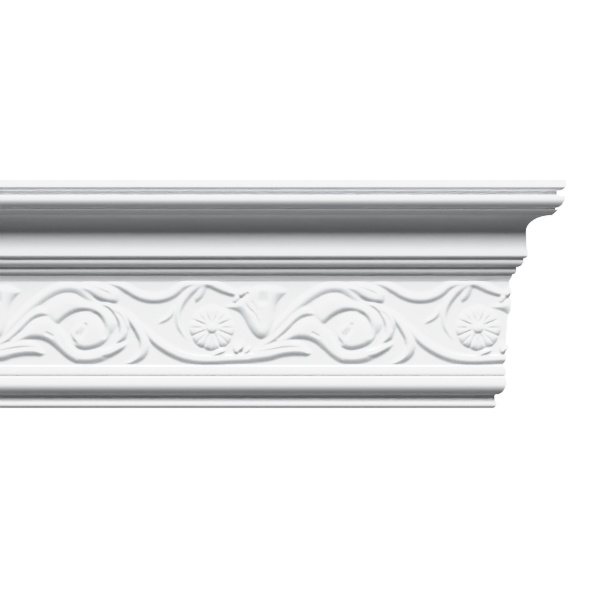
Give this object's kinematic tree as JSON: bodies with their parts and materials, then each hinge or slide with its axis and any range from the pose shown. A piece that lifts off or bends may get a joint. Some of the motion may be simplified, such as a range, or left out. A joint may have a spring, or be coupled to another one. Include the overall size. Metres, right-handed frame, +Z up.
{
  "type": "cornice moulding length",
  "caption": "Ceiling cornice length with a cove, stepped and rounded members and a carved acanthus scroll frieze, square at one end and mitred at the other.",
  "frame": {"origin": "middle of the flat strip that lies on the wall", "axes": "+X along the length towards the mitred end, +Y into the wall, +Z up; the carved front faces -Y"},
  "size_m": [0.43, 0.0638, 0.172],
  "materials": {
    "primed_white": "factory-primed white polyurethane, smooth and matt"
  },
  "bodies": {
    "root": {"cornice_moulding": "primed_white"}
  },
  "joints": []
}
